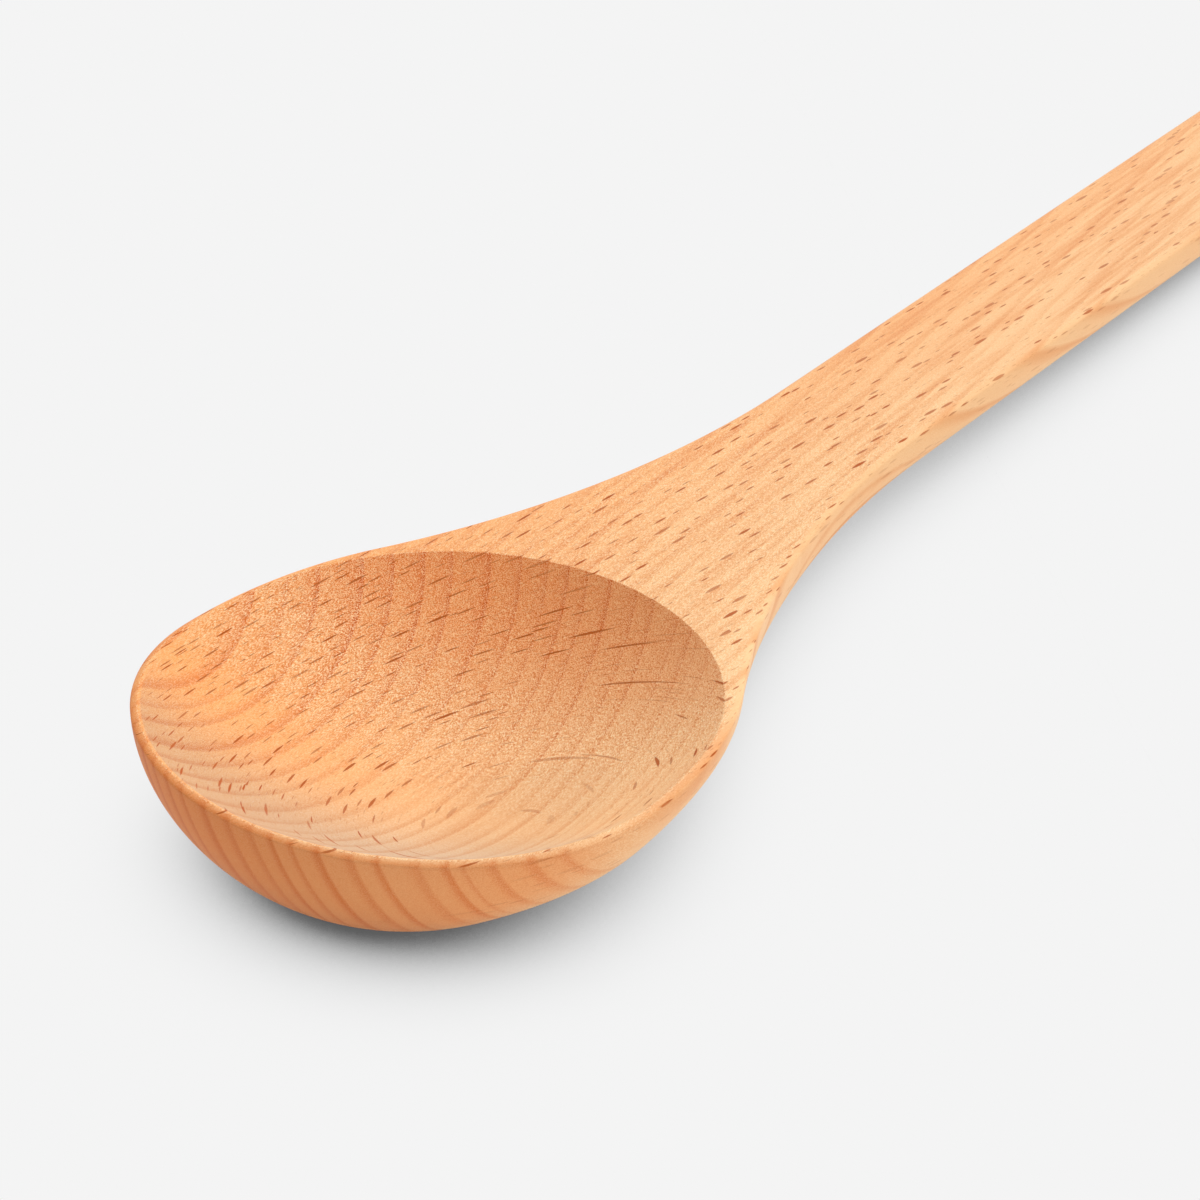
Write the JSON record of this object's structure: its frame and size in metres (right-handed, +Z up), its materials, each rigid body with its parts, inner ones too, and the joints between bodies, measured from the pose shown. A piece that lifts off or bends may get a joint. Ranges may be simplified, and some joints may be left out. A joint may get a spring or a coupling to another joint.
{
  "type": "tasting spoon",
  "caption": "Flat-topped wooden tasting spoon with a round shallow bowl, sloping shoulders and a long straight handle, carved from solid beech.",
  "frame": {"origin": "on the table, under the middle of the spoon's length and width as it lies at rest", "axes": "+X along the spoon, from the tip of the bowl towards the end of the handle; +Y across it, to the left of someone looking along +X; +Z up, out of the hollow"},
  "size_m": [0.2798, 0.062, 0.0155],
  "materials": {
    "beech": "satin"
  },
  "bodies": {
    "root": {"spoon": "beech"}
  },
  "joints": []
}
